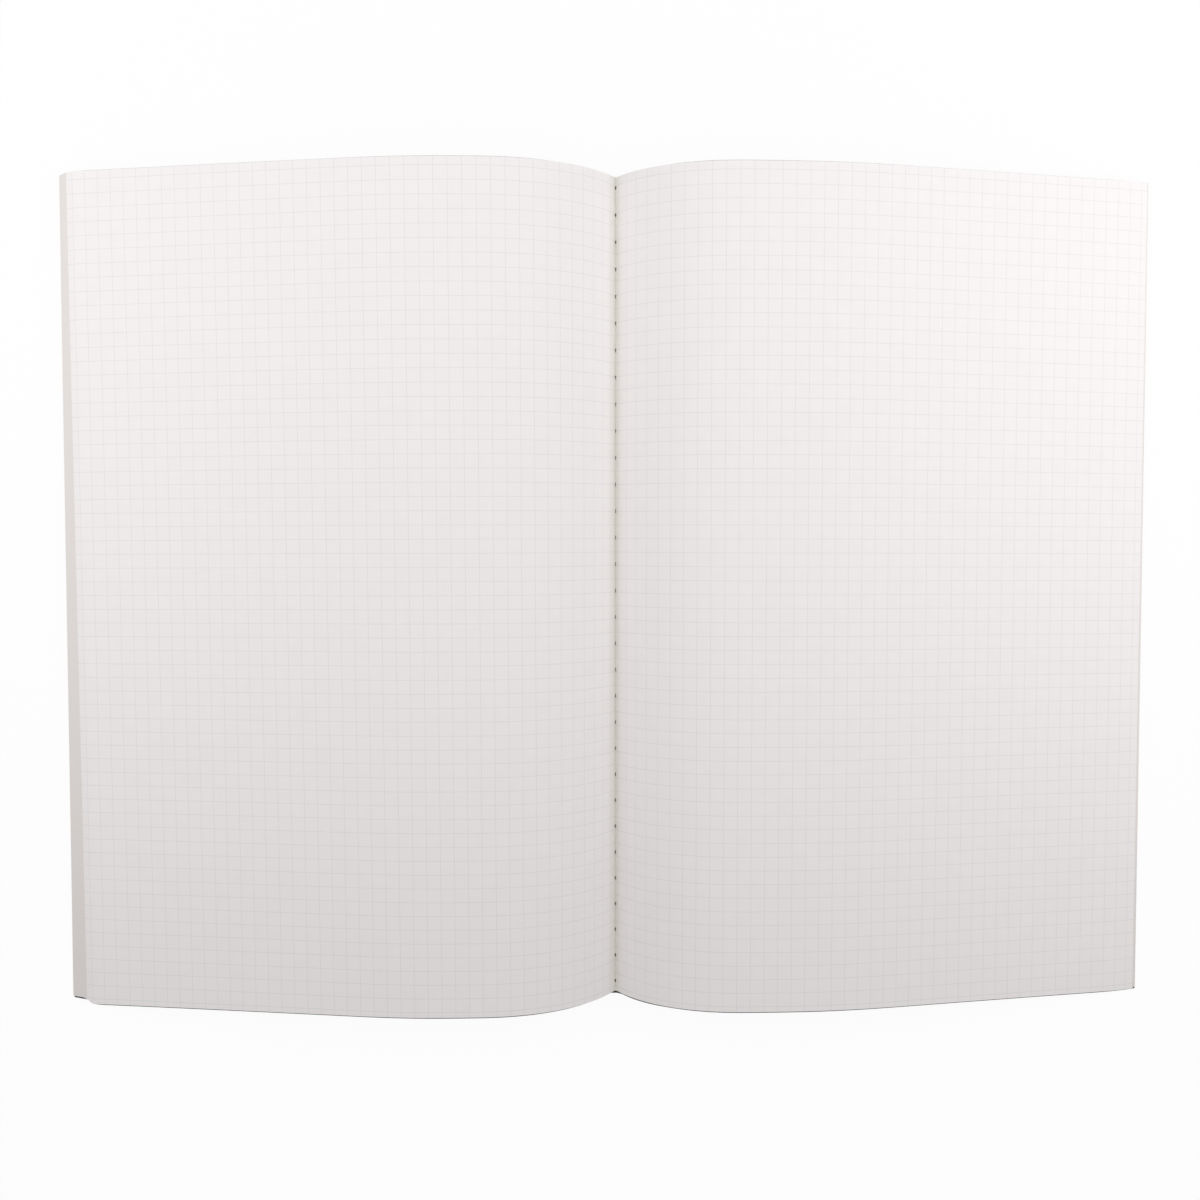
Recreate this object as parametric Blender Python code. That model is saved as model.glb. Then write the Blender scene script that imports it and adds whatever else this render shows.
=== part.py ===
"""Soft-covered notebook of one sewn section, lying open at its middle sheet.

Metres, +Z up. X runs across the open pages, Y up the page, and the fold lies on X = 0.
The notebook stands on its spine and on the two fore-edges, on the plane Z = 0.
Every leaf is a parallel copy of one curved line, the upper face of the middle sheet.
"""

import math
from typing import NamedTuple

import bmesh
import bpy

# Paper and card
LEAF_WIDTH = 0.2105
LEAF_HEIGHT = 0.305
SHEET_COUNT = 20
PAPER_THICKNESS = 0.00009
AIR_BETWEEN_LEAVES = 0.00002
COVER_THICKNESS = 0.0003
COVER_CLEARANCE = 0.00005
COVER_OVERHANG = 0.0009

# Fold
FOLD_RADIUS = 0.0006
FOLD_FACETS = 3
GUTTER_ANGLE = math.radians(60.0)
SPINE_WIDTH = 0.004
SPINE_JOINT_GAP = 0.0003
SHEET_SLIP = math.radians(42.0)

# Arch of the two open halves
LEFT_CREST_DISTANCE = 0.0605
RIGHT_CREST_DISTANCE = 0.055
RISE_EASE = 1.26
RISE_FACETS = 10
LEFT_FALL_EASE_LENGTH = 0.049
RIGHT_FALL_EASE_LENGTH = 0.063
FALL_FACETS = 5
STEEPEST_FALL = math.radians(30.0)

# Curl of the fore-edges
CURL_LENGTH = 0.012
CURL_FACETS = 3
LEFT_CURL = math.radians(16.0)
RIGHT_CURL = math.radians(8.0)

# Sewing
THREAD_DIAMETER = 0.0003
THREAD_SIDES = 6
THREAD_SIDE_CLEARANCE = 0.00025
THREAD_TO_CARD = 0.00005
STITCH_PITCH = 0.0099
STITCH_END_MARGIN = 0.003
STITCH_LEG_SPACING = 0.0009
STITCH_LOCK_GAP = 0.0001
NEEDLE_HOLE_CLEARANCE = 0.0002

# Precision of the drawn line
LINE_STEP = 0.0005
MERGE_DISTANCE = 0.00002

# Sizes that follow
SHEET_PITCH = PAPER_THICKNESS + AIR_BETWEEN_LEAVES
STACK_DEPTH = SHEET_COUNT * SHEET_PITCH - AIR_BETWEEN_LEAVES
COVER_DEPTH = STACK_DEPTH + COVER_CLEARANCE
SPINE_RADIUS = FOLD_RADIUS + COVER_DEPTH + COVER_THICKNESS
SPINE_FLAT_ANGLE = GUTTER_ANGLE / (2 * FOLD_FACETS + 1)
SPINE_UNDERSIDE = THREAD_DIAMETER + THREAD_TO_CARD
FOLD_CENTRE_HEIGHT = SPINE_UNDERSIDE + SPINE_RADIUS * math.cos(SPINE_FLAT_ANGLE)
THREAD_SLOT_HALF = THREAD_DIAMETER / 2 + THREAD_SIDE_CLEARANCE
COVER_HEIGHT = LEAF_HEIGHT + 2 * COVER_OVERHANG


class Half(NamedTuple):
    """One open half: its side of the fold, its arch, and how it ends at the fore-edge."""

    side: int
    crest: float
    fall_ease: float
    curl: float
    trim_turn: float
    fall: float = 0.0


def clear_scene():
    """Remove whatever the file holds at the start."""
    for thing in list(bpy.data.objects):
        bpy.data.objects.remove(thing, do_unlink=True)


def make_material(name, colour, roughness):
    """A Principled material with one colour and one roughness."""
    material = bpy.data.materials.new(name)
    material.use_nodes = True
    shader = material.node_tree.nodes["Principled BSDF"]
    shader.inputs["Base Color"].default_value = (*colour, 1.0)
    shader.inputs["Roughness"].default_value = roughness
    shader.inputs["Metallic"].default_value = 0.0
    material.diffuse_color = (*colour, 1.0)
    return material


def ease(share):
    """A share from 0 to 1 that starts and ends gently."""
    return share * share * (3.0 - 2.0 * share)


def curl_start():
    """Distance along the paper where the fore-edge begins to curl down."""
    return LEAF_WIDTH - CURL_LENGTH - STACK_DEPTH


def slope_at(distance, half):
    """Slope of a half, at a distance along the paper from the gutter."""
    if distance < half.crest:
        return GUTTER_ANGLE * (1.0 - distance / half.crest) ** RISE_EASE
    fall_share = min(1.0, (distance - half.crest) / half.fall_ease)
    curl_share = max(0.0, min(1.0, (distance - curl_start()) / CURL_LENGTH))
    return -half.fall * ease(fall_share) - half.curl * curl_share


def stations(half):
    """Distances along the paper where one facet of the arch ends and the next begins."""
    rise = [half.crest * step / RISE_FACETS for step in range(RISE_FACETS + 1)]
    fall = [half.crest + half.fall_ease * (step + 1) / FALL_FACETS for step in range(FALL_FACETS)]
    curl = [curl_start() + CURL_LENGTH * step / CURL_FACETS for step in range(CURL_FACETS + 1)]
    return rise + fall + curl


def arch_line(half):
    """Points and slopes of the middle sheet's upper face: round the fold, up, over and down."""
    line = []
    for step in range(FOLD_FACETS + 1):
        angle = GUTTER_ANGLE * (2 * step + 1) / (2 * FOLD_FACETS + 1)
        across = FOLD_RADIUS * math.sin(angle)
        height = FOLD_CENTRE_HEIGHT - FOLD_RADIUS * math.cos(angle)
        line.append((across, height, angle))
    places = stations(half)
    for start, end in zip(places, places[1:]):
        parts = max(1, math.ceil((end - start) / LINE_STEP))
        step = (end - start) / parts
        for part in range(parts):
            slope = slope_at(start + (part + 0.5) * step, half)
            across += step * math.cos(slope)
            height += step * math.sin(slope)
        line.append((across, height, slope_at(end, half)))
    return line


def fore_edge_point(line, half, depth):
    """Where the leaf at this depth ends, on the middle sheet's line carried straight on.

    The section is trimmed shut. Each leaf then goes a quarter turn round the fold, so an
    outer leaf is longer by a quarter turn of its depth, and the open edge is a bevel.
    The sheets have slipped round the fold, which widens the left bevel and narrows the right.
    """
    trimmed_length = LEAF_WIDTH + depth * (half.trim_turn + half.fall + half.curl)
    beyond = trimmed_length - FOLD_RADIUS * GUTTER_ANGLE - stations(half)[-1]
    across, height, slope = line[-1]
    return across + beyond * math.cos(slope), height + beyond * math.sin(slope), slope


def face_line(points, depth):
    """The line moved down by a depth, square to itself."""
    return [
        (across + depth * math.sin(slope), height - depth * math.cos(slope))
        for across, height, slope in points
    ]


def start_at(points, inner):
    """The part of a line that lies beyond X = inner."""
    first = next(index for index, point in enumerate(points) if point[0] > inner + MERGE_DISTANCE)
    if first == 0:
        return points
    before, after = points[first - 1], points[first]
    share = (inner - before[0]) / (after[0] - before[0])
    return [(inner, before[1] + share * (after[1] - before[1]))] + points[first:]


def settle(half):
    """The same half, coming down at the angle that brings its cover's fore-edge to Z = 0."""
    shallow, steep = 0.0, STEEPEST_FALL
    cover_foot = COVER_DEPTH + COVER_THICKNESS
    for _ in range(40):
        half = half._replace(fall=(shallow + steep) / 2)
        end = fore_edge_point(arch_line(half), half, COVER_DEPTH + COVER_THICKNESS / 2)
        if face_line([end], cover_foot)[0][1] > 0.0:
            shallow = half.fall
        else:
            steep = half.fall
    return half


def extrude_outline(name, upper, lower, side, height_up_page, material):
    """A solid between two lines, extruded up the page. Both lines run outwards from the fold."""
    shape = bmesh.new()
    ends = []
    for along in (-height_up_page / 2, height_up_page / 2):
        ends.append(
            (
                [shape.verts.new((side * across, along, height)) for across, height in upper],
                [shape.verts.new((side * across, along, height)) for across, height in lower],
            )
        )
    (near_upper, near_lower), (far_upper, far_lower) = ends
    near_rim = near_upper + near_lower[::-1]
    far_rim = far_upper + far_lower[::-1]
    for index in range(len(near_rim)):
        following = (index + 1) % len(near_rim)
        shape.faces.new((near_rim[index], near_rim[following], far_rim[following], far_rim[index]))
    for one, other in ends:
        shared = min(len(one), len(other))
        one_end, other_end = one[-shared:], other[-shared:]
        for index in range(shared - 1):
            shape.faces.new((one_end[index], one_end[index + 1], other_end[index + 1], other_end[index]))
        for longer, corner in ((one, other_end[0]), (other, one_end[0])):
            spare = longer[: len(longer) - shared + 1]
            for first, second in zip(spare, spare[1:]):
                shape.faces.new((first, second, corner))
    bmesh.ops.recalc_face_normals(shape, faces=shape.faces)
    mesh = bpy.data.meshes.new(name)
    shape.to_mesh(mesh)
    shape.free()
    mesh.materials.append(material)
    mesh.shade_smooth()
    mesh.set_sharp_from_angle(angle=math.radians(30.0))
    solid = bpy.data.objects.new(name, mesh)
    bpy.context.collection.objects.link(solid)
    return solid


def make_layer(name, half, depth, thickness, inner, height_up_page, material):
    """One leaf or one cover: a strip of the arch at a depth below the middle sheet's face."""
    line = arch_line(half)
    line.append(fore_edge_point(line, half, depth + thickness / 2))
    upper = start_at(face_line(line, depth), inner)
    lower = start_at(face_line(line, depth + thickness), inner)
    return extrude_outline(name, upper, lower, half.side, height_up_page, material)


def make_leaves(prefix, half, material):
    """The leaves of one half, numbered from the open page down to the cover."""
    for number in range(SHEET_COUNT):
        name = f"{prefix}_leaf_{number + 1:02d}"
        depth = number * SHEET_PITCH
        make_layer(name, half, depth, PAPER_THICKNESS, THREAD_SLOT_HALF, LEAF_HEIGHT, material)


def make_cover(name, half, material):
    """The cover of one half, which starts beside the spine strip."""
    inner = SPINE_WIDTH / 2 + SPINE_JOINT_GAP
    make_layer(name, half, COVER_DEPTH, COVER_THICKNESS, inner, COVER_HEIGHT, material)


def make_spine(half, material):
    """The strip of the cover that goes round the fold, flat where it stands."""
    line = arch_line(half)
    mirrored = [(-across, height, -slope) for across, height, slope in reversed(line)]
    rims = []
    for depth in (COVER_DEPTH, COVER_DEPTH + COVER_THICKNESS):
        whole = face_line(mirrored + line, depth)
        trimmed = start_at(whole, -SPINE_WIDTH / 2)
        flipped = [(-across, height) for across, height in reversed(trimmed)]
        rims.append(start_at(flipped, -SPINE_WIDTH / 2))
    return extrude_outline("cover_spine", rims[0], rims[1], half.side, COVER_HEIGHT, material)


def stitch_places():
    """Heights up the page where the needle went through."""
    room = LEAF_HEIGHT - 2 * STITCH_END_MARGIN
    gaps = math.floor(room / STITCH_PITCH)
    return [(index - gaps / 2) * STITCH_PITCH for index in range(gaps + 1)]


def make_thread(name, run_height, lock_height, material):
    """One thread of the lock stitch: it runs along the fold and turns in at every hole."""
    leg = STITCH_LEG_SPACING / 2
    route = [(-(LEAF_HEIGHT / 2 - STITCH_END_MARGIN / 3), run_height)]
    for place in stitch_places():
        route.append((place - leg, run_height))
        route.append((place - leg, lock_height))
        route.append((place + leg, lock_height))
        route.append((place + leg, run_height))
    route.append((LEAF_HEIGHT / 2 - STITCH_END_MARGIN / 3, run_height))
    shape = bmesh.new()
    rings = []
    for index, (along, height) in enumerate(route):
        before = route[max(index - 1, 0)]
        after = route[min(index + 1, len(route) - 1)]
        arriving = unit(along - before[0], height - before[1]) or unit(after[0] - along, after[1] - height)
        leaving = unit(after[0] - along, after[1] - height) or arriving
        mitre_y = -(arriving[1] + leaving[1])
        mitre_z = arriving[0] + leaving[0]
        stretch = 2.0 / (mitre_y * mitre_y + mitre_z * mitre_z)
        ring = []
        for corner in range(THREAD_SIDES):
            turn = 2 * math.pi * (corner + 0.5) / THREAD_SIDES
            sideways = THREAD_DIAMETER / 2 * math.cos(turn)
            outwards = THREAD_DIAMETER / 2 * math.sin(turn) * stretch
            place = (sideways, along + outwards * mitre_y, height + outwards * mitre_z)
            ring.append(shape.verts.new(place))
        rings.append(ring)
    for ring, following in zip(rings, rings[1:]):
        for corner in range(THREAD_SIDES):
            beside = (corner + 1) % THREAD_SIDES
            shape.faces.new((ring[corner], ring[beside], following[beside], following[corner]))
    shape.faces.new(rings[0])
    shape.faces.new(rings[-1])
    bmesh.ops.recalc_face_normals(shape, faces=shape.faces)
    mesh = bpy.data.meshes.new(name)
    shape.to_mesh(mesh)
    shape.free()
    mesh.materials.append(material)
    thread = bpy.data.objects.new(name, mesh)
    bpy.context.collection.objects.link(thread)
    return thread


def unit(along, height):
    """A direction of length one, or None where the two ends are the same."""
    length = math.hypot(along, height)
    if length == 0.0:
        return None
    return along / length, height / length


def pierce_spine(spine):
    """Needle holes through the spine, one for each stitch."""
    width = THREAD_DIAMETER + 2 * NEEDLE_HOLE_CLEARANCE
    length = STITCH_LEG_SPACING + THREAD_DIAMETER + 2 * NEEDLE_HOLE_CLEARANCE
    height = 2 * FOLD_CENTRE_HEIGHT
    shape = bmesh.new()
    for place in stitch_places():
        cube = bmesh.ops.create_cube(shape, size=1.0)["verts"]
        bmesh.ops.scale(shape, verts=cube, vec=(width, length, height))
        bmesh.ops.translate(shape, verts=cube, vec=(0.0, place, 0.0))
    mesh = bpy.data.meshes.new("needle_holes")
    shape.to_mesh(mesh)
    shape.free()
    cutter = bpy.data.objects.new("needle_holes", mesh)
    bpy.context.collection.objects.link(cutter)
    cutter.hide_render = True
    cutter.display_type = "WIRE"
    holes = spine.modifiers.new("needle_holes", "BOOLEAN")
    holes.operation = "DIFFERENCE"
    holes.object = cutter


def build():
    """Make every piece of the notebook."""
    clear_scene()
    paper = make_material("ruled_paper", (0.84, 0.83, 0.80), 0.8)
    card = make_material("navy_card", (0.012, 0.014, 0.03), 0.6)
    cotton = make_material("sewing_thread", (0.62, 0.60, 0.55), 0.9)
    quarter_turn = math.pi / 2
    left_arch = Half(-1, LEFT_CREST_DISTANCE, LEFT_FALL_EASE_LENGTH, LEFT_CURL, quarter_turn + SHEET_SLIP)
    right_arch = Half(1, RIGHT_CREST_DISTANCE, RIGHT_FALL_EASE_LENGTH, RIGHT_CURL, quarter_turn - SHEET_SLIP)
    left = settle(left_arch)
    right = settle(right_arch)
    make_leaves("left", left, paper)
    make_leaves("right", right, paper)
    make_cover("front_cover", left, card)
    make_cover("back_cover", right, card)
    pierce_spine(make_spine(right, card))
    middle_fold = FOLD_CENTRE_HEIGHT - FOLD_RADIUS
    inner_run = middle_fold + THREAD_DIAMETER / 2
    outer_run = THREAD_DIAMETER / 2
    lock = (inner_run + outer_run) / 2
    lock_offset = (THREAD_DIAMETER + STITCH_LOCK_GAP) / 2
    make_thread("inner_thread", inner_run, lock + lock_offset, cotton)
    make_thread("outer_thread", outer_run, lock - lock_offset, cotton)


build()
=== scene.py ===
"""Looks of the open notebook: ruled paper, navy card and sewing thread, photographed from above."""

import math

import bpy
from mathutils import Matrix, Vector


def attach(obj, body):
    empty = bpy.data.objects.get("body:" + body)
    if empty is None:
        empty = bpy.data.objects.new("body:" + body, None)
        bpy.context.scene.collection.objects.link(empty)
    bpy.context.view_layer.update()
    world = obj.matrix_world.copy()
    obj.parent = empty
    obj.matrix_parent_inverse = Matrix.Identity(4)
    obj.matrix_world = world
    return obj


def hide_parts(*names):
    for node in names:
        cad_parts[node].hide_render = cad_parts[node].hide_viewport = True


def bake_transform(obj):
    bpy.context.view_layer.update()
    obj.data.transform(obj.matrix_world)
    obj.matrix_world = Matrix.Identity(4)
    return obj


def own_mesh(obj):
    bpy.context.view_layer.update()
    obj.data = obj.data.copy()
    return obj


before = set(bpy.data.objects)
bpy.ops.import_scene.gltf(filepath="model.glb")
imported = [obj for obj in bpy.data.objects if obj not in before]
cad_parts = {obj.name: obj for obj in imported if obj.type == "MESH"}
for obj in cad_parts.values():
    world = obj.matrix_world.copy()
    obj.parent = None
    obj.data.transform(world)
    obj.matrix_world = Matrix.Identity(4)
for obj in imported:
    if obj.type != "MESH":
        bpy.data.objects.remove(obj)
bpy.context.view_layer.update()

# Paper and card, as in the part's source, in metres
LEAF_WIDTH = 0.2105
LEAF_HEIGHT = 0.305
SHEETS = 20
PAPER = 0.00009
SHEET_PITCH = 0.00011
STACK = SHEETS * SHEET_PITCH - 0.00002
CARD = 0.0003
COVER_DEPTH = STACK + 0.00005
COVER_HEIGHT = LEAF_HEIGHT + 2 * 0.0009

# The cover has slid a little towards the tail, most of all at its spine
COVER_SLIP = 0.0002
SPINE_SLIP = 0.0006
SPINE_REACH = {-1: 0.004, 1: 0.02}

# The front half's outer corner at the tail is knocked back: how far and how wide, how much less on its
# outermost sheet, and how much more on the worn corners of the card
CORNER_RISE = 0.0019
CORNER_RUN = 0.0021
CORNER_EASED = 0.66
COVER_WORN = 0.0006

# Fold and arch
FOLD_RADIUS = 0.0006
GUTTER_ANGLE = math.radians(60.0)
HINGE = 0.002845
FOLD_CENTRE = HINGE + FOLD_RADIUS
RISE_EASE = 1.26
FOLD_STEPS = 12
ARCH_STEPS = 180
QUARTER_TURN = math.pi / 2
SHEET_SLIP = math.radians(42.0)

# The part of a deeper leaf's extra length that its way round the arch takes up, so that it isn't bared
LOST_ROUND_ARCH = 1.08

# Each half: where its arch is level, how it falls and curls to the fore-edge, how its sheets turn round the
# fold, fan out at the fore-edge and slip back towards the head, what its leaves have over and how much of it
# is trimmed off at the head, how far its cover is tucked in, its ruling's margin at the gutter, and whether
# its corner is knocked back
LEFT = dict(
    side=-1, crest=0.0605, ease=0.049, fall=math.radians(9.989), curl=math.radians(16.0), bend=0.004,
    spare=0.0005, trimmed=0.0, turn=QUARTER_TURN + SHEET_SLIP, fan=1.6, slip=1.7, tucked=0.0015, margin=0.00338,
    knocked=True,
)
RIGHT = dict(
    side=1, crest=0.055, ease=0.063, fall=math.radians(10.366), curl=math.radians(8.0), bend=0.012,
    spare=-0.0005, trimmed=0.001, turn=QUARTER_TURN - SHEET_SLIP, fan=0.35, slip=0.35, tucked=0.0004,
    margin=0.00162, knocked=False,
)

# Where paper and card are cut beside the fold
FOLD_STRIP_HALF = 0.0004
SPINE_STRIP_HALF = 0.0008

# Sewing
THREAD = 0.0003
LOCK_GAP = 0.0004
STITCH_PITCH = 0.0099
STITCHES = 31
LEG_SPACING = 0.0009
HOLE_WIDTH = 0.0006
HOLE_LENGTH = 0.0013
HOLE_ROUNDING = 0.00025
CUTTER_HEIGHT = 0.008
THREAD_END = 0.001
THREAD_TURN = 0.0006
THREAD_SHOULDER = 0.00012

# Ruling
SQUARE = 0.005
TAIL_MARGIN = 0.00197
BARE_EDGE = 0.00045

# How the halves lie: drawn in towards the fold, all over, in their middle and at the fore-edge, opened out
# towards the head, twisted, slid towards the tail, and propped up at the tail
DRAWN_IN = {-1: 0.00054, 1: 0.00058}
MIDDLE_DRAWN = {-1: 0.00013, 1: 0.00022}
OUTER_DRAWN = {-1: 0.0011, 1: 0.0}
HEAD_OPENED = {-1: 0.00079, 1: 0.0}
TWISTED = {-1: 0.0006, 1: 0.0}
SLID = {-1: 0.00088, 1: 0.00097}
SLID_LESS_AT_HEAD = {-1: 0.00027, 1: 0.00007}
PROPPED = {-1: 0.0006, 1: 0.0001}
HALF_SPAN = 0.2
OUTER_FROM, OUTER_OVER = 0.62, 0.3
PROPPED_FROM, PROPPED_OVER = 0.06, 0.14
LIE_SIZE = (0.44, 0.32, 0.05)
LIE_MIDDLE = 0.015


def deselect():
    """Nothing is selected, so that an operator acts on one piece."""
    if bpy.context.object and bpy.context.object.mode != "OBJECT":
        bpy.ops.object.mode_set(mode="OBJECT")
    bpy.ops.object.select_all(action="DESELECT")


def pick(piece):
    """One piece is selected and active."""
    deselect()
    piece.select_set(True)
    bpy.context.view_layer.objects.active = piece


def settle_in_place(piece):
    """The piece keeps its place in its mesh, and its object goes to the origin."""
    pick(piece)
    bpy.ops.object.transform_apply(location=True, rotation=True, scale=True)


def modify(piece, kind, **settings):
    """Add a modifier to the piece and apply it."""
    pick(piece)
    modifier = piece.modifiers.new(kind.lower(), kind)
    for name, value in settings.items():
        setattr(modifier, name, value)
    bpy.ops.object.modifier_apply(modifier=modifier.name)


def slope_at(distance, half):
    """Slope of a half's middle leaf, at a distance along the paper from the gutter."""
    if distance < half["crest"]:
        return GUTTER_ANGLE * (1.0 - distance / half["crest"]) ** RISE_EASE
    share = min(1.0, (distance - half["crest"]) / half["ease"])
    level = LEAF_WIDTH + half["spare"] - half["bend"] - STACK
    curl = max(0.0, min(1.0, (distance - level) / half["bend"]))
    return -half["fall"] * share * share * (3.0 - 2.0 * share) - half["curl"] * curl


def arch(half, inner, depth, thickness=PAPER, tucked=0.0):
    """Points of a leaf's upper face, in the direction of +X."""
    line = []
    for index in range(FOLD_STEPS + 1):
        turned = GUTTER_ANGLE * index / FOLD_STEPS
        line.append((FOLD_RADIUS * math.sin(turned), FOLD_CENTRE - FOLD_RADIUS * math.cos(turned), turned))
    across, height, _ = line[-1]
    whole_turn = half["turn"] + half["fan"] + half["fall"] + half["curl"]
    length = LEAF_WIDTH + half["spare"] + (depth + thickness / 2) * whole_turn
    length = length - FOLD_RADIUS * GUTTER_ANGLE - tucked
    step = length / ARCH_STEPS
    for index in range(ARCH_STEPS):
        slope = slope_at((index + 0.5) * step, half)
        across += step * math.cos(slope)
        height += step * math.sin(slope)
        line.append((across, height, slope_at((index + 1) * step, half)))
    face = [(x + depth * math.sin(slope), z - depth * math.cos(slope)) for x, z, slope in line]
    if inner > 0.0:
        first = next(index for index, point in enumerate(face) if point[0] > inner)
        (x0, z0), (x1, z1) = face[first - 1], face[first]
        face = [(inner, z0 + (inner - x0) / (x1 - x0) * (z1 - z0))] + face[first:]
    return face if half["side"] > 0 else [(-x, z) for x, z in reversed(face)]


def bend_line(points):
    """A line in the XZ plane that a flat sheet is bent along."""
    deselect()
    bpy.ops.curve.primitive_nurbs_path_add(location=(0.0, 0.0, 0.0))
    guide = bpy.context.object
    guide.data.twist_mode = "Z_UP"
    line = guide.data.splines[0]
    line.type = "POLY"
    line.points.add(len(points) - len(line.points))
    for point, (x, z) in zip(line.points, points):
        point.co = (x, 0.0, z, 1.0)
    return guide


def bent_sheet(name, points, height, thickness, columns, rows, half=None, depth=0.0, ruled_to_edge=False):
    """A flat sheet of paper or card, given its thickness and bent along a line that runs along +X.

    Its first UV map counts the squares of the ruling, across from the gutter margin and up from the tail.
    Its second one counts squares in from the fore-edge and out from the fold. A sheet of a half slips in
    at the head under the sheets above it, is trimmed there, and is knocked back at its corner.
    """
    length = sum(math.dist(a, b) for a, b in zip(points, points[1:]))
    deselect()
    bpy.ops.mesh.primitive_grid_add(
        x_subdivisions=columns, y_subdivisions=rows, size=1.0, location=(length / 2, 0.0, 0.0)
    )
    sheet = bpy.context.object
    sheet.name = name
    sheet.data.name = name
    sheet.scale = (length, height, 1.0)
    settle_in_place(sheet)
    leftward = points[0][0] < -0.01
    squares = sheet.data.uv_layers.active
    squares.name = "squares"
    reach = sheet.data.uv_layers.new(name="reach")
    if half:
        worn = COVER_WORN if height > LEAF_HEIGHT else 0.0
        knock = CORNER_RISE * (1.0 - CORNER_EASED * depth / STACK) + worn
        bared = depth * (half["turn"] + half["fan"] + half["fall"] + half["curl"] - LOST_ROUND_ARCH)
        for point in sheet.data.vertices:
            out = length - point.co.x if leftward else point.co.x
            up = 0.5 + point.co.y / height
            outermost = out > length * (1.0 - 0.5 / columns)
            drawn = half["slip"] * depth * up * out / length + (half["trimmed"] * up if outermost else 0.0)
            if half["knocked"]:
                share = max(0.0, min(1.0, (bared + CORNER_RUN - (length - out)) / CORNER_RUN))
                if up < 0.5 / rows:
                    point.co.y += knock * share
                elif up > 1.0 - 0.5 / rows:
                    point.co.y -= worn * share
            point.co.x += drawn if leftward else -drawn
    margin = half["margin"] if half else 0.0
    for corner, across, edge in zip(sheet.data.loops, squares.data, reach.data):
        share = across.uv[0]
        from_fold = (1.0 - share) * length if leftward else share * length
        point = sheet.data.vertices[corner.vertex_index].co
        out = length - point.x if leftward else point.x
        across.uv = ((out - margin) / SQUARE, (point.y + LEAF_HEIGHT / 2 - TAIL_MARGIN) / SQUARE)
        edge.uv = ((length - from_fold) / SQUARE + (1.0 if ruled_to_edge else 0.0), from_fold / SQUARE)
    modify(sheet, "SOLIDIFY", thickness=thickness, offset=-1.0, material_offset_rim=1)
    guide = bend_line(points)
    modify(sheet, "CURVE", object=guide, deform_axis="POS_X")
    bpy.data.objects.remove(guide, do_unlink=True)
    return sheet


def make_lie():
    """A lattice round the notebook, which gives its halves the small slants they lie with."""
    deselect()
    bpy.ops.object.add(type="LATTICE", location=(0.0, 0.0, LIE_MIDDLE))
    lie = bpy.context.object
    lie.name = "lie"
    width, height, depth = LIE_SIZE
    lie.scale = LIE_SIZE
    lattice = lie.data
    lattice.points_u, lattice.points_v, lattice.points_w = 23, 5, 2
    for point in lattice.points:
        x = point.co.x * width
        side = -1 if x < 0 else 1
        out = min(1.1, abs(x) / HALF_SPAN)
        up = point.co.y * height / (LEAF_HEIGHT / 2)
        middle = math.sin(math.pi * min(1.0, out))
        outer = max(0.0, min(1.0, (out - OUTER_FROM) / OUTER_OVER))
        drawn = DRAWN_IN[side] * out - HEAD_OPENED[side] * out * up + MIDDLE_DRAWN[side] * middle
        drawn += OUTER_DRAWN[side] * outer * outer * (3.0 - 2.0 * outer) - TWISTED[side] * middle * up
        slid = SLID[side] * out * out - SLID_LESS_AT_HEAD[side] * out * out * up
        propped = PROPPED[side] * max(0.0, (abs(x) - PROPPED_FROM) / PROPPED_OVER) * (1.0 - up) / 2
        point.co_deform.x -= side * drawn / width
        point.co_deform.y -= slid / height
        point.co_deform.z += propped / depth
    return lie


def srgb(code):
    """A hex colour as linear values."""
    parts = [int(code[i:i + 2], 16) / 255 for i in (0, 2, 4)]
    return tuple(c / 12.92 if c <= 0.04045 else ((c + 0.055) / 1.055) ** 2.4 for c in parts) + (1.0,)


def bare_material(name):
    """A node material with nothing in it yet."""
    material = bpy.data.materials.new(name)
    material.use_nodes = True
    material.node_tree.nodes.clear()
    return material, material.node_tree


def node(tree, kind, settings, inputs):
    """Add one node with its settings, and link or set its inputs, which go by number or by name."""
    made = tree.nodes.new("ShaderNode" + kind)
    for name, value in settings.items():
        setattr(made, name, value)
    for place, value in inputs.items():
        if isinstance(value, bpy.types.NodeSocket):
            tree.links.new(value, made.inputs[place])
        else:
            made.inputs[place].default_value = value
    return made


# A wave texture's scale for bands one metre apart
BANDS = math.pi / 10


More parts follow.
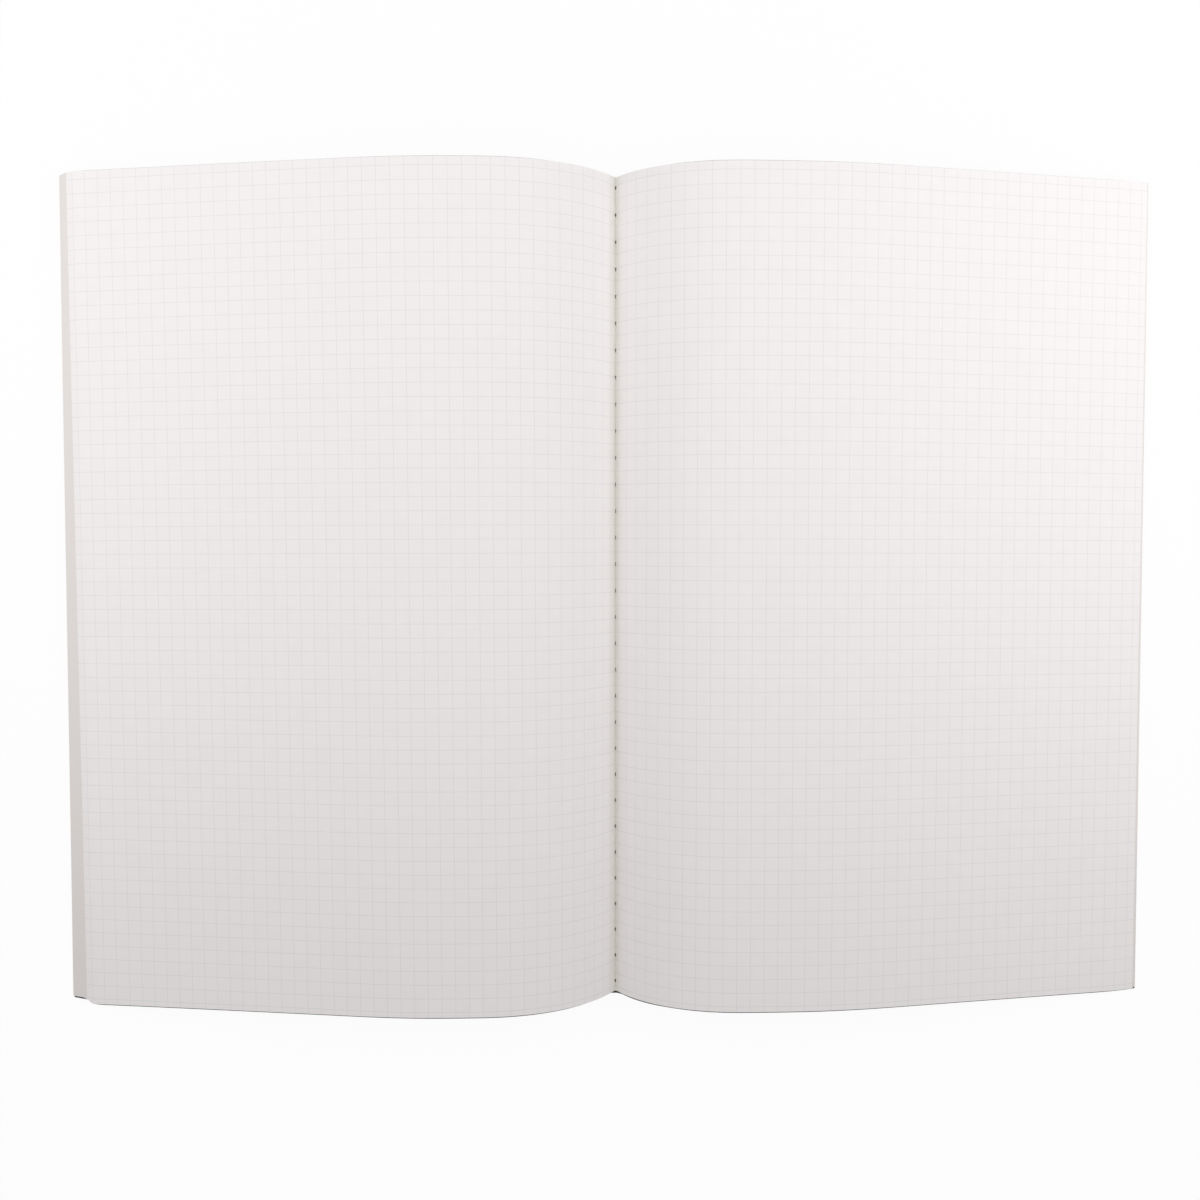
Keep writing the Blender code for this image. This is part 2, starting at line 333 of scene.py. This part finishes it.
def make_ruled_paper():
    """Uncoated writing paper, machine made: matt, a little cloudy in its formation, with a fine tooth.

    It is offset printed with squares in a pale blue-grey ink. Painted shade tints it olive-yellow in the fold,
    and painted shade makes the paper by the trimmed fore-edge a little duller than the face.
    """
    material, tree = bare_material("offset_ruled_writing_paper")
    place = node(tree, "TexCoord", {}, {}).outputs["Object"]
    # Formation clouds of 6 mm, tooth of 0.7 mm, and cockle of 40 mm from damp air
    clouds = node(tree, "TexNoise", {}, {
        "Vector": place, "Scale": 1 / 0.006, "Detail": 3.0, "Roughness": 0.55,
    })
    tooth = node(tree, "TexNoise", {}, {
        "Vector": place, "Scale": 1 / 0.0007, "Detail": 4.0, "Roughness": 0.7,
    })
    cockle = node(tree, "TexNoise", {}, {
        "Vector": place, "Scale": 1 / 0.04, "Detail": 1.0, "Roughness": 0.4,
    })
    tone = node(tree, "Mix", {"data_type": "RGBA"}, {
        0: clouds.outputs[0], 6: srgb("F7F5F5"), 7: srgb("F3F0F0"),
    })
    pits = node(tree, "Math", {"operation": "MULTIPLY"}, {0: tooth.outputs[0], 1: 0.25})
    tone = node(tree, "Mix", {"data_type": "RGBA"}, {
        0: pits.outputs[0], 6: tone.outputs[2], 7: srgb("EDE8E8"),
    })

    # Ink lines 0.22 mm wide on 5 mm squares, half that from their middle, which break up a little on the
    # tooth, and fade out over 0.03 mm at their sides
    squares = node(tree, "UVMap", {"uv_map": "squares"}, {})
    split = node(tree, "SeparateXYZ", {}, {"Vector": squares.outputs[0]})
    spread = node(tree, "TexNoise", {}, {"Vector": place, "Scale": 1 / 0.0011, "Detail": 2.0})
    half_width = node(tree, "Math", {"operation": "MULTIPLY_ADD"}, {0: spread.outputs[0], 1: 0.016, 2: 0.014})
    lines = []
    for axis in ("X", "Y"):
        off = node(tree, "Math", {"operation": "PINGPONG"}, {0: split.outputs[axis], 1: 0.5})
        inside = node(tree, "Math", {"operation": "SUBTRACT"}, {0: half_width.outputs[0], 1: off.outputs[0]})
        lines.append(node(
            tree, "Math", {"operation": "MULTIPLY", "use_clamp": True}, {0: inside.outputs[0], 1: 160.0},
        ))
    line = node(tree, "Math", {"operation": "MAXIMUM"}, {0: lines[0].outputs[0], 1: lines[1].outputs[0]})
    hold = node(tree, "Math", {"operation": "MULTIPLY_ADD"}, {0: tooth.outputs[0], 1: -0.28, 2: 0.48})
    ink = node(tree, "Math", {"operation": "MULTIPLY"}, {0: line.outputs[0], 1: hold.outputs[0]})
    # Only the open pages are ruled right up to the fore-edge, so that the fanned sheets show plain paper
    reach = node(tree, "UVMap", {"uv_map": "reach"}, {})
    far = node(tree, "SeparateXYZ", {}, {"Vector": reach.outputs[0]})
    unruled_edge_painted_shade = node(tree, "Math", {"operation": "LESS_THAN"}, {0: far.outputs["X"], 1: BARE_EDGE / SQUARE})
    printed = node(tree, "Math", {"operation": "SUBTRACT", "use_clamp": True}, {
        0: ink.outputs[0], 1: unruled_edge_painted_shade.outputs[0],
    })
    tone = node(tree, "Mix", {"data_type": "RGBA"}, {
        0: printed.outputs[0], 6: tone.outputs[2], 7: srgb("C3C6D2"),
    })
    # Painted shade: within 0.45 mm of the fore-edge the fanned sheets are mixed to a greyer, darker paper tone,
    # where the sheets shade one another
    tone = node(tree, "Mix", {"data_type": "RGBA"}, {
        0: unruled_edge_painted_shade.outputs[0], 6: tone.outputs[2], 7: srgb("E9E5E2"),
    })

    # Painted shade: the paper is tinted a little olive-yellow over its last 9 mm towards the fold, where the
    # gutter is shaded
    near = node(tree, "MapRange", {}, {
        "Value": far.outputs["Y"], "From Min": 0.0, "From Max": 0.009 / SQUARE, "To Min": 1.0, "To Max": 0.0,
    })
    depth = node(tree, "Math", {"operation": "POWER"}, {0: near.outputs[0], 1: 1.6})
    fold_painted_shade = node(tree, "Mix", {"data_type": "RGBA", "blend_type": "MULTIPLY"}, {
        0: depth.outputs[0], 6: tone.outputs[2], 7: srgb("FDFEF8"),
    })

    rough = node(tree, "Math", {"operation": "MULTIPLY_ADD"}, {0: tooth.outputs[0], 1: 0.2, 2: 0.72})
    fine = node(tree, "Math", {"operation": "MULTIPLY"}, {0: tooth.outputs[0], 1: 0.05})
    relief = node(tree, "Math", {"operation": "MULTIPLY_ADD"}, {0: cockle.outputs[0], 1: 6.0, 2: fine.outputs[0]})
    bump = node(tree, "Bump", {}, {"Strength": 0.35, "Distance": 0.0004, "Height": relief.outputs[0]})
    shader = node(tree, "BsdfPrincipled", {}, {
        "Base Color": fold_painted_shade.outputs[2], "Roughness": rough.outputs[0],
        "IOR": 1.5, "Specular IOR Level": 0.3, "Normal": bump.outputs[0],
    })
    node(tree, "OutputMaterial", {}, {"Surface": shader.outputs[0]})
    return material


def make_cut_edge():
    """The guillotined edge of the same paper: a little greyer and rougher than its face."""
    material, tree = bare_material("guillotined_paper_edge")
    place = node(tree, "TexCoord", {}, {}).outputs["Object"]
    # Drag marks of the blade, 0.25 mm across and seven times as long
    along = node(tree, "Mapping", {}, {"Vector": place, "Scale": (1.0, 0.15, 1.0)})
    marks = node(tree, "TexNoise", {}, {
        "Vector": along.outputs[0], "Scale": 1 / 0.00025, "Detail": 3.0, "Roughness": 0.6,
    })
    tone = node(tree, "Mix", {"data_type": "RGBA"}, {
        0: marks.outputs[0], 6: srgb("D8D3CD"), 7: srgb("F0EDE8"),
    })
    rough = node(tree, "Math", {"operation": "MULTIPLY_ADD"}, {0: marks.outputs[0], 1: 0.2, 2: 0.75})
    bump = node(tree, "Bump", {}, {"Strength": 0.4, "Distance": 0.0001, "Height": marks.outputs[0]})
    shader = node(tree, "BsdfPrincipled", {}, {
        "Base Color": tone.outputs[2], "Roughness": rough.outputs[0], "Normal": bump.outputs[0],
    })
    node(tree, "OutputMaterial", {}, {"Surface": shader.outputs[0]})
    return material


def make_cover_card():
    """Cover card, dyed through in navy and embossed with a linen grain, with a soft dull sheen."""
    material, tree = bare_material("linen_embossed_card")
    place = node(tree, "TexCoord", {}, {}).outputs["Object"]
    # Linen threads 0.9 mm apart, twice the real spacing, so that they show
    threads = []
    for direction in ("X", "Y"):
        threads.append(node(
            tree, "TexWave", {"wave_type": "BANDS", "bands_direction": direction},
            {"Vector": place, "Scale": BANDS / 0.0009, "Distortion": 1.5, "Detail": 2.0},
        ))
    linen = node(tree, "Math", {"operation": "MULTIPLY"}, {0: threads[0].outputs[1], 1: threads[1].outputs[1]})
    # Mottle of the dye, 0.4 mm, and scuffs of about 17 mm
    mottle = node(tree, "TexNoise", {}, {
        "Vector": place, "Scale": 1 / 0.0004, "Detail": 3.0, "Roughness": 0.6,
    })
    scuff = node(tree, "TexNoise", {}, {
        "Vector": place, "Scale": 1 / 0.017, "Detail": 6.0, "Roughness": 0.7,
    })
    lit = node(tree, "Math", {"operation": "MULTIPLY"}, {0: linen.outputs[0], 1: mottle.outputs[0]})
    tone = node(tree, "Mix", {"data_type": "RGBA"}, {0: lit.outputs[0], 6: srgb("11131F"), 7: srgb("2A2E45")})
    worn = node(tree, "MapRange", {}, {
        "Value": scuff.outputs[0], "From Min": 0.58, "From Max": 0.8, "To Min": 0.0, "To Max": 0.35,
    })
    tone = node(tree, "Mix", {"data_type": "RGBA"}, {
        0: worn.outputs[0], 6: tone.outputs[2], 7: srgb("454B63"),
    })
    rough = node(tree, "Math", {"operation": "MULTIPLY_ADD"}, {0: scuff.outputs[0], 1: 0.3, 2: 0.4})
    bump = node(tree, "Bump", {}, {"Strength": 0.5, "Distance": 0.0001, "Height": linen.outputs[0]})
    shader = node(tree, "BsdfPrincipled", {}, {
        "Base Color": tone.outputs[2], "Roughness": rough.outputs[0], "Normal": bump.outputs[0],
    })
    node(tree, "OutputMaterial", {}, {"Surface": shader.outputs[0]})
    return material


def make_sewing_cotton():
    """Spun cotton thread, matt and slightly fuzzy: two plies with a lay of 0.8 mm, and painted shade turns it
    brown at the holes.
    """
    material, tree = bare_material("spun_sewing_cotton")
    place = node(tree, "TexCoord", {}, {}).outputs["Object"]
    slant = node(tree, "Mapping", {}, {"Vector": place, "Rotation": (0.0, 0.0, 0.9)})
    plies = node(tree, "TexWave", {"wave_type": "BANDS", "bands_direction": "Y"}, {
        "Vector": slant.outputs[0], "Scale": BANDS / 0.0008, "Distortion": 0.5, "Detail": 1.0,
    })
    fuzz = node(tree, "TexNoise", {}, {"Vector": place, "Scale": 1 / 0.0001, "Detail": 3.0})
    tone = node(tree, "Mix", {"data_type": "RGBA"}, {
        0: plies.outputs[1], 6: srgb("E8E6DC"), 7: srgb("F3F2EA"),
    })
    loose = node(tree, "Math", {"operation": "MULTIPLY"}, {0: fuzz.outputs[0], 1: 0.3})
    tone = node(tree, "Mix", {"data_type": "RGBA"}, {
        0: loose.outputs[0], 6: tone.outputs[2], 7: srgb("F5F4EE"),
    })
    # Distance from the nearest hole, along the fold
    split = node(tree, "SeparateXYZ", {}, {"Vector": place})
    away = node(tree, "Math", {"operation": "PINGPONG"}, {0: split.outputs["Y"], 1: STITCH_PITCH / 2})
    # Painted shade: the thread is brown within 0.5 mm of each needle hole, fading out by 0.9 mm, where it dips
    # into the shaded hole
    hole_painted_shade = node(tree, "MapRange", {"interpolation_type": "SMOOTHSTEP"}, {
        "Value": away.outputs[0], "From Min": 0.0005, "From Max": 0.0009, "To Min": 1.0, "To Max": 0.0,
    })
    tone = node(tree, "Mix", {"data_type": "RGBA"}, {
        0: hole_painted_shade.outputs[0], 6: tone.outputs[2], 7: srgb("A8937F"),
    })
    rough = node(tree, "Math", {"operation": "MULTIPLY_ADD"}, {0: fuzz.outputs[0], 1: 0.2, 2: 0.75})
    bump = node(tree, "Bump", {}, {"Strength": 0.7, "Distance": 0.00005, "Height": plies.outputs[1]})
    shader = node(tree, "BsdfPrincipled", {}, {
        "Base Color": tone.outputs[2], "Roughness": rough.outputs[0], "Normal": bump.outputs[0],
    })
    node(tree, "OutputMaterial", {}, {"Surface": shader.outputs[0]})
    return material


def make_needle_slots(rounding):
    """A row of slots through the fold, one at each stitch, used as a cutter."""
    deselect()
    bpy.ops.mesh.primitive_cube_add(size=1.0, location=(0.0, -(STITCHES - 1) / 2 * STITCH_PITCH, HINGE))
    cutter = bpy.context.object
    cutter.name = "needle_slots"
    cutter.scale = (HOLE_WIDTH, HOLE_LENGTH, CUTTER_HEIGHT)
    settle_in_place(cutter)
    if rounding:
        modify(cutter, "BEVEL", width=rounding, segments=3, limit_method="NONE")
    modify(
        cutter, "ARRAY", count=STITCHES, use_relative_offset=False, use_constant_offset=True,
        constant_offset_displace=(0.0, STITCH_PITCH, 0.0),
    )
    return cutter


def finish_piece(piece, *materials, smooth=40.0):
    """Shade the piece smoothly over its shallow angles and give it its materials."""
    pick(piece)
    bpy.ops.object.shade_smooth_by_angle(angle=math.radians(smooth))
    for material in materials:
        piece.data.materials.append(material)


def flatten_shut(piece):
    """The piece gets its own copy of its mesh."""
    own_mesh(piece)


def wrap_round_fold(piece):
    """The piece's placement is baked into its mesh, and its object goes back to the origin."""
    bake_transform(piece)


def slide_cover(piece, reach):
    """Part of the cover slides towards the tail, most of all at the spine."""
    for point in piece.data.vertices:
        point.co.y -= COVER_SLIP + SPINE_SLIP * max(0.0, 1.0 - abs(point.co.x) / reach)


def make_thread(name, run_height, lock_height, cotton):
    """A thread that runs along the fold and dips into every needle hole, with rounded turns."""
    end = LEAF_HEIGHT / 2 - THREAD_END
    shoulder = run_height - math.copysign(THREAD_SHOULDER, run_height - lock_height)
    route = [(-end, run_height), (-end + THREAD_TURN, run_height)]
    for index in range(STITCHES):
        place = (index - (STITCHES - 1) / 2) * STITCH_PITCH
        down, up = place - LEG_SPACING / 2, place + LEG_SPACING / 2
        route += [(down - THREAD_TURN, run_height), (down, run_height), (down, shoulder)]
        route += [(down, lock_height), (place, lock_height), (up, lock_height)]
        route += [(up, shoulder), (up, run_height), (up + THREAD_TURN, run_height)]
    route += [(end - THREAD_TURN, run_height), (end, run_height)]
    deselect()
    bpy.ops.curve.primitive_nurbs_path_add(location=(0.0, 0.0, 0.0))
    thread = bpy.context.object
    thread.name = name
    thread.data.name = name
    thread.data.bevel_depth = THREAD / 2
    thread.data.bevel_resolution = 2
    thread.data.use_fill_caps = True
    thread.data.resolution_u = 3
    line = thread.data.splines[0]
    line.points.add(len(route) - len(line.points))
    for point, (y, z) in zip(line.points, route):
        point.co = (0.0, y, z, 1.0)
    line.order_u = 3
    line.use_endpoint_u = True
    pick(thread)
    bpy.ops.object.convert(target="MESH")
    thread = bpy.context.object
    finish_piece(thread, cotton, smooth=80.0)
    return thread


paper = make_ruled_paper()
cut_edge = make_cut_edge()
card = make_cover_card()
cotton = make_sewing_cotton()
lie = make_lie()
round_slots = make_needle_slots(HOLE_ROUNDING)
slots = make_needle_slots(0.0)

# The leaves of both halves, from the open pages down
for half, prefix in ((LEFT, "left"), (RIGHT, "right")):
    for number in range(1, SHEETS + 1):
        depth = (number - 1) * SHEET_PITCH
        open_page = number == 1
        points = arch(half, 0.0 if open_page else FOLD_STRIP_HALF, depth)
        columns, rows = (150, 24) if open_page else (70, 8)
        name = f"{prefix}_page" if open_page else f"{prefix}_sheet_{number:02d}"
        leaf = bent_sheet(name, points, LEAF_HEIGHT, PAPER, columns, rows, half, depth, open_page)
        if open_page:
            modify(leaf, "BOOLEAN", object=round_slots, operation="DIFFERENCE", solver="EXACT")
        modify(leaf, "LATTICE", object=lie)
        finish_piece(leaf, paper, cut_edge)
        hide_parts(f"{prefix}_leaf_{number:02d}")
        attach(leaf, "front_half" if half is LEFT else ("top_leaf" if open_page else "back_half"))
        flatten_shut(leaf)

# The folds of sheets 2 to 20, which join their two leaves round the middle
for number in range(2, SHEETS + 1):
    radius = FOLD_RADIUS + (number - 1) * SHEET_PITCH
    reach = math.asin(FOLD_STRIP_HALF / radius)
    turns = [reach * step / 6 for step in range(-6, 7)]
    points = [(radius * math.sin(turn), FOLD_CENTRE - radius * math.cos(turn)) for turn in turns]
    fold = bent_sheet(f"sheet_{number:02d}_fold", points, LEAF_HEIGHT, PAPER, 12, 2)
    modify(fold, "BOOLEAN", object=slots, operation="DIFFERENCE", solver="EXACT")
    finish_piece(fold, paper, cut_edge)
    wrap_round_fold(fold)

# The card cover: two boards that bend with the leaves, and the strip round the spine
for half, name, body in ((LEFT, "front_cover", "front_half"), (RIGHT, "back_cover", "back_half")):
    points = arch(half, SPINE_STRIP_HALF, COVER_DEPTH, CARD, half["tucked"])
    board = bent_sheet(f"{name}_card", points, COVER_HEIGHT, CARD, 90, 12, half, COVER_DEPTH)
    slide_cover(board, SPINE_REACH[half["side"]])
    modify(board, "LATTICE", object=lie)
    finish_piece(board, card, card)
    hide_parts(name)
    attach(board, body)
    flatten_shut(board)

radius = FOLD_RADIUS + COVER_DEPTH
reach = math.asin(SPINE_STRIP_HALF / radius)
turns = [reach * step / 8 for step in range(-8, 9)]
points = [(radius * math.sin(turn), FOLD_CENTRE - radius * math.cos(turn)) for turn in turns]
spine = bent_sheet("spine_card", points, COVER_HEIGHT, CARD, 16, 2)
slide_cover(spine, SPINE_REACH[1])
modify(spine, "BOOLEAN", object=slots, operation="DIFFERENCE", solver="EXACT")
finish_piece(spine, card, card)
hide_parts("cover_spine")
wrap_round_fold(spine)

# The two threads of the lock stitch
inner_run = HINGE + THREAD / 2
outer_run = THREAD / 2
lock = (inner_run + outer_run) / 2
for name, run, locks, stands_for in (
    ("gutter_thread", inner_run, lock + LOCK_GAP / 2, "inner_thread"),
    ("spine_thread", outer_run, lock - LOCK_GAP / 2, "outer_thread"),
):
    thread = make_thread(name, run, locks, cotton)
    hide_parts(stands_for)
    wrap_round_fold(thread)

for guide in (slots, round_slots, lie):
    bpy.data.objects.remove(guide, do_unlink=True)


def seen_directly(tree):
    """1 for what the camera sees, itself or in metal or glass, and 0 for light that falls on the object."""
    path = node(tree, "LightPath", {}, {})
    seen = node(tree, "Math", {"operation": "MAXIMUM"}, {
        0: path.outputs["Is Camera Ray"], 1: path.outputs["Is Glossy Ray"],
    })
    seen = node(tree, "Math", {"operation": "MAXIMUM"}, {
        0: seen.outputs[0], 1: path.outputs["Is Transmission Ray"],
    })
    return seen.outputs[0]


# Floor: a white sheet of seamless paper, which keeps a faint soft shadow
FLOOR_SIZE = 6.0
FLOOR_HEIGHT = -0.0002
FLOOR_GLOW = 0.94
deselect()
bpy.ops.mesh.primitive_plane_add(size=FLOOR_SIZE, location=(0.0, 0.0, FLOOR_HEIGHT))
floor = bpy.context.object
floor.name = "floor"
material, tree = bare_material("seamless_background_paper")
matt = node(tree, "BsdfPrincipled", {}, {"Base Color": srgb("F4F4F4"), "Roughness": 0.9})
glow = node(tree, "Emission", {}, {"Color": (1.0, 1.0, 1.0, 1.0), "Strength": 1.0})
share = node(tree, "Math", {"operation": "MULTIPLY"}, {0: seen_directly(tree), 1: FLOOR_GLOW})
both = node(tree, "MixShader", {}, {0: share.outputs[0], 1: matt.outputs[0], 2: glow.outputs[0]})
node(tree, "OutputMaterial", {}, {"Surface": both.outputs[0]})
floor.data.materials.append(material)

# World: soft fill from all round, white where the camera looks past the floor
FILL = 0.52
world = bpy.data.worlds.new("studio")
bpy.context.scene.world = world
world.use_nodes = True
tree = world.node_tree
tree.nodes.clear()
seen = seen_directly(tree)
strength = node(tree, "Math", {"operation": "MULTIPLY_ADD"}, {0: seen, 1: 1.0 - FILL, 2: FILL})
tint = node(tree, "Mix", {"data_type": "RGBA"}, {
    0: seen, 6: (1.0, 0.98, 0.975, 1.0), 7: (1.0, 1.0, 1.0, 1.0),
})
air = node(tree, "Background", {}, {"Color": tint.outputs[2], "Strength": strength.outputs[0]})
node(tree, "OutputWorld", {}, {"Surface": air.outputs[0]})

# Two soft boxes, above both fore-edges, turned towards the head of the page
for name, place, aim, size, power in (
    ("left_box", (-0.45, 0.15, 0.45), (-0.3, 0.5, 0.0), (0.5, 0.4), 1.5),
    ("right_box", (0.45, 0.15, 0.45), (0.3, 0.5, 0.0), (0.5, 0.4), 1.84),
):
    deselect()
    bpy.ops.object.light_add(type="AREA", location=place)
    box = bpy.context.object
    box.name = name
    box.rotation_euler = (Vector(aim) - Vector(place)).to_track_quat("-Z", "Y").to_euler()
    box.data.shape = "RECTANGLE"
    box.data.size, box.data.size_y = size
    box.data.energy = power
    box.visible_camera = False

# Camera: above the tail half of the page, tilted a little towards the tail
deselect()
bpy.ops.object.camera_add(
    location=(-0.01988, 0.02169, 0.48749),
    rotation=(math.radians(-2.98), math.radians(-1.663), math.radians(-0.011)),
)
camera = bpy.context.object
camera.data.sensor_width = 36.0
camera.data.lens = 38.859
camera.data.clip_start = 0.05
bpy.context.scene.camera = camera

bpy.context.scene.view_settings.view_transform = "Standard"

deselect()
